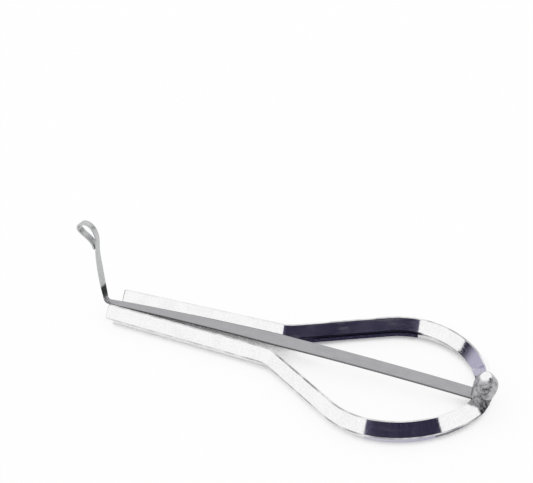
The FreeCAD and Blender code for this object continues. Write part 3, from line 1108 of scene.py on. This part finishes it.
def glossy_panel(name: str, points: Array, cloth: FlagCloth) -> None:
    """Puts up a panel of the studio that shows only in reflections.

    Args:
        name: the panel's name.
        points: a grid of points, in millimetres.
        cloth: what it is made of.
    """
    count, rows = points.shape[:2]
    number = np.arange(count * rows).reshape(count, rows)
    faces = np.stack([number[:-1, :-1], number[1:, :-1], number[1:, 1:], number[:-1, 1:]], axis=-1)
    places = np.meshgrid(np.linspace(0, 1, count), np.linspace(0, 1, rows), indexing="ij")
    places = np.stack(places, axis=-1).reshape(-1, 2)
    mesh = new_mesh(name, points.reshape(-1, 3), faces.reshape(-1, 4).tolist(), "across", places)
    mesh.materials.append(cloth.material())
    made = placed(name, mesh)
    made.visible_camera = False
    made.visible_diffuse = False
    made.visible_shadow = False
    made.visible_transmission = False


@dataclass
class Flag:
    """A patch of a wide sphere around the harp."""

    name: str
    cloth: FlagCloth
    azimuths: tuple
    elevations: tuple
    distance: float = 3000.0
    centre: tuple = (-40.0, 0.0, 3.0)

    def build(self) -> None:
        """Hangs the panel: each point is centre + distance * direction, the direction's azimuth and elevation
        going evenly over their ranges."""
        azimuths, elevations = np.linspace(*self.azimuths, 25), np.linspace(*self.elevations, 9)
        direction = towards(*np.meshgrid(azimuths, elevations, indexing="ij"))
        glossy_panel(self.name, np.array(self.centre) + self.distance * direction, self.cloth)


@dataclass
class PaintedShadeStrip:
    """A strip on the paper that follows the bow, for the bar's lower facets to reflect: painted shade of the
    paper beside and under the bar, shown only in reflections. The stretch is its reach along the bar, and
    aside its reach to the outside of the bow."""

    name: str
    cloth: FlagCloth
    line: BowLine
    stretch: tuple
    aside: tuple
    near_side: float = -100.0
    level: float = 0.05

    def build(self) -> None:
        """Lays the strip of painted shade: each point is the centreline's place + a distance to the outside
        of the bow, and none is on the near side of a limit across the harp."""
        place, outward = along_line(np.linspace(*self.stretch, 60), self.line.whole())
        points = np.full((60, 4, 3), self.level)
        aside = np.linspace(*self.aside, 4)
        points[:, :, :2] = place[:, None, :] + outward[:, None, :] * aside[:, None]
        points[:, :, 1] = np.maximum(points[:, :, 1], self.near_side)
        glossy_panel(self.name, points, self.cloth)


@dataclass
class Studio:
    """White paper, an even white surround, a few flags, and strips of painted shade on the paper, for the
    plating to reflect.
    """

    line: BowLine
    paper_reach: float = 4000.0

    def build(self) -> None:
        """Lays the paper, lights the surround and hangs the flags."""
        reach = self.paper_reach * MM
        corners = [(-reach, -reach, 0), (reach, -reach, 0), (reach, reach, 0), (-reach, reach, 0)]
        mesh = bpy.data.meshes.new("paper")
        mesh.from_pydata(corners, [], [(0, 1, 2, 3)])
        mesh.materials.append(StudioWhite().material())
        placed("paper", mesh)
        world = bpy.data.worlds.new("surround")
        bpy.context.scene.world = world
        world.use_nodes = True
        background = world.node_tree.nodes["Background"]
        background.inputs["Color"].default_value = (1.0, 1.0, 1.0, 1.0)
        background.inputs["Strength"].default_value = 1.0
        self.hang_flags()

    def hang_flags(self) -> None:
        """Hangs the flags around the harp, and lays strips of painted shade under the bow."""
        navy = (0.022, 0.02, 0.042)
        violet = (0.075, 0.068, 0.115)
        lavender = (0.46, 0.44, 0.56)
        pale = (0.55, 0.54, 0.6)
        front = FlagCloth("front_cloth", violet, navy, (0.0, 0.16), 0.8)
        side = FlagCloth("side_cloth", navy, lavender, (0.10, 0.40), 0.3)
        back = FlagCloth("back_cloth", navy, violet)
        # painted shade of the paper beside the bar: navy, lavender and grey sheets seen only in reflections
        card = FlagCloth("navy_painted_shade", navy, navy)
        lavender_painted_shade = FlagCloth("lavender_painted_shade", lavender, pale, blotch=0.0)
        grey_painted_shade = FlagCloth("grey_painted_shade", (0.13, 0.13, 0.15), (0.2, 0.2, 0.23), blotch=0.0)
        Flag("camera_flag", front, (-14.5, 65.5), (22.0, 43.0)).build()
        Flag("left_flag", side, (-76.0, -128.0), (0.0, 19.0)).build()
        Flag("back_flag", back, (108.0, 150.0), (20.0, 42.0)).build()
        # painted shade beside the far arm, beside the near arm, and beside the head
        PaintedShadeStrip("far_painted_shade", card, self.line, (42.4, 69.5), (-7.5, 1.2), 2.2).build()
        PaintedShadeStrip("near_painted_shade", lavender_painted_shade, self.line, (111.0, 124.5), (-1.0, 2.4)).build()
        PaintedShadeStrip("head_painted_shade", grey_painted_shade, self.line, (101.0, 111.0), (-1.0, 2.4)).build()


@dataclass
class ViewCamera:
    """Where the camera stands, in degrees and millimetres."""

    azimuth: float = 30.5
    elevation: float = 31.16
    roll: float = 5.51
    distance: float = 250.07
    target: tuple = (-67.045, 36.87, 2.5)
    lens: float = 67.92
    sensor: float = 36.0

    def build(self) -> None:
        """Places the camera at target + distance * back, its sides turned by the roll."""
        roll = math.radians(self.roll)
        back = Vector(towards(self.azimuth, self.elevation))
        level = Vector(towards(self.azimuth + 90.0, 0.0))
        upright = back.cross(level)
        right = level * math.cos(roll) - upright * math.sin(roll)
        up = level * math.sin(roll) + upright * math.cos(roll)
        data = bpy.data.cameras.new("view_camera")
        data.lens = self.lens
        data.sensor_width = self.sensor
        data.sensor_fit = "HORIZONTAL"
        data.clip_start = 0.005
        data.clip_end = 50.0
        made = placed("view_camera", data)
        place = (Vector(self.target) + back * self.distance) * MM
        made.matrix_world = Matrix.Translation(place) @ Matrix((right, up, back)).transposed().to_4x4()
        bpy.context.scene.camera = made


# --- Assembly ---------------------------------


def dress(piece: Piece, finish: Finish) -> None:
    """Gives a piece its finish.

    Args:
        piece: the piece.
        finish: its material.
    """
    piece.data.materials.clear()
    piece.data.materials.append(finish)
    LOG.info("%s: %d faces", piece.name, len(piece.data.polygons))


def bend(piece: Piece, hinge: float, level: float, reach: float) -> None:
    """Bakes a stretch's place into its mesh. The ends of a bend about the joint are worked out but not used,
    so the stretch does not bend.

    Args:
        piece: the stretch.
        hinge: the joint's distance from the crown; not used beyond the bend's ends, which are not used.
        level: the joint's height; not used beyond the bend's ends, which are not used.
        reach: how far the bending would go on each side; not used beyond the bend's ends, which are not used.
    """
    start = (-(hinge - reach) * MM, 0.0, level * MM)
    end = (-(hinge + reach) * MM, 0.0, level * MM)
    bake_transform(piece)


def build_reed(line: BowLine, finish: Finish) -> None:
    """Builds the reed as three stretches that meet halfway between its joints, and the trigger.

    Args:
        line: the frame's centreline.
        finish: the reed's material.
    """
    shape = ReedShape(line)
    root, neck = shape.root_hinge, line.frame_length - line.arm_length
    tip = line.frame_length - shape.tip_hinge_inset
    cuts = (-shape.tail_reach, (root + neck) / 2, (neck + tip) / 2, shape.trigger_start)
    plans = (
        ("reed_tail", "reed_root", (Body.FRAME, Body.BLADE), root, 8.0),
        ("reed_middle", "reed_blade", (Body.BLADE, Body.SHANK), neck, 8.0),
        ("reed_front", "reed_shank", (Body.SHANK, Body.TIP), tip, 4.0),
    )
    for (name, node, bodies, hinge, reach), start, end in zip(plans, cuts, cuts[1:]):
        stretch = ReedStrip(name, shape, start, end).build()
        dress(stretch, finish)
        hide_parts(node)
        bend(stretch, hinge, float(shape.top(np.array(hinge))) - shape.thickness / 2, reach)
    trigger = Trigger(shape).build()
    dress(trigger, finish)
    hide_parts("reed_tip")
    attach(trigger, Body.TIP.value)


def main() -> None:
    """Builds the camera, the studio and the harp."""
    logging.basicConfig(level=logging.INFO, format="%(name)s: %(message)s")
    scene = bpy.context.scene
    scene.view_settings.view_transform = "Standard"
    ViewCamera().build()
    line = BowLine()
    Studio(line).build()
    plated = PlatedSteel().material()
    spring = SpringSteel().material()
    bar = FrameBar(line).build()
    dress(bar, plated)
    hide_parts("frame")
    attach(bar, Body.FRAME.value)
    head = PeenedHead().build()
    dress(head, plated)
    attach(head, Body.FRAME.value)
    build_reed(line, spring)


if __name__ == "__main__":
    main()
